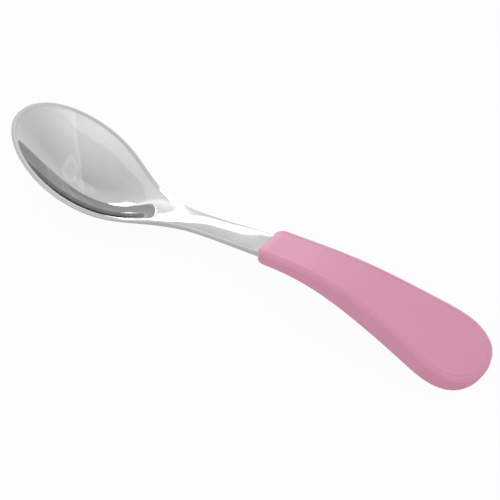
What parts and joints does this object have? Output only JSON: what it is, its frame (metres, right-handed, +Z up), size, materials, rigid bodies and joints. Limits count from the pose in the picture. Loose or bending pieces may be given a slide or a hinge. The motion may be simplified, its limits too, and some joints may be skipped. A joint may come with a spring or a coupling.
{
  "type": "baby spoon",
  "caption": "Baby spoon: an oval bowl, neck and tang in one piece of polished stainless steel, with an arched soft silicone grip moulded round the tang.",
  "frame": {"origin": "on the table, under the middle of the spoon's length, in its plane of symmetry", "axes": "+X from the bowl's tip to the handle's end, +Y across the spoon, +Z up out of the bowl"},
  "size_m": [0.145, 0.0298, 0.0194],
  "materials": {
    "polished_steel": "polished to a mirror, with fine hairlines",
    "pink_silicone": "moulded, matt to satin"
  },
  "bodies": {
    "root": {"steel_spoon": "polished_steel", "silicone_grip": "pink_silicone"}
  },
  "joints": []
}
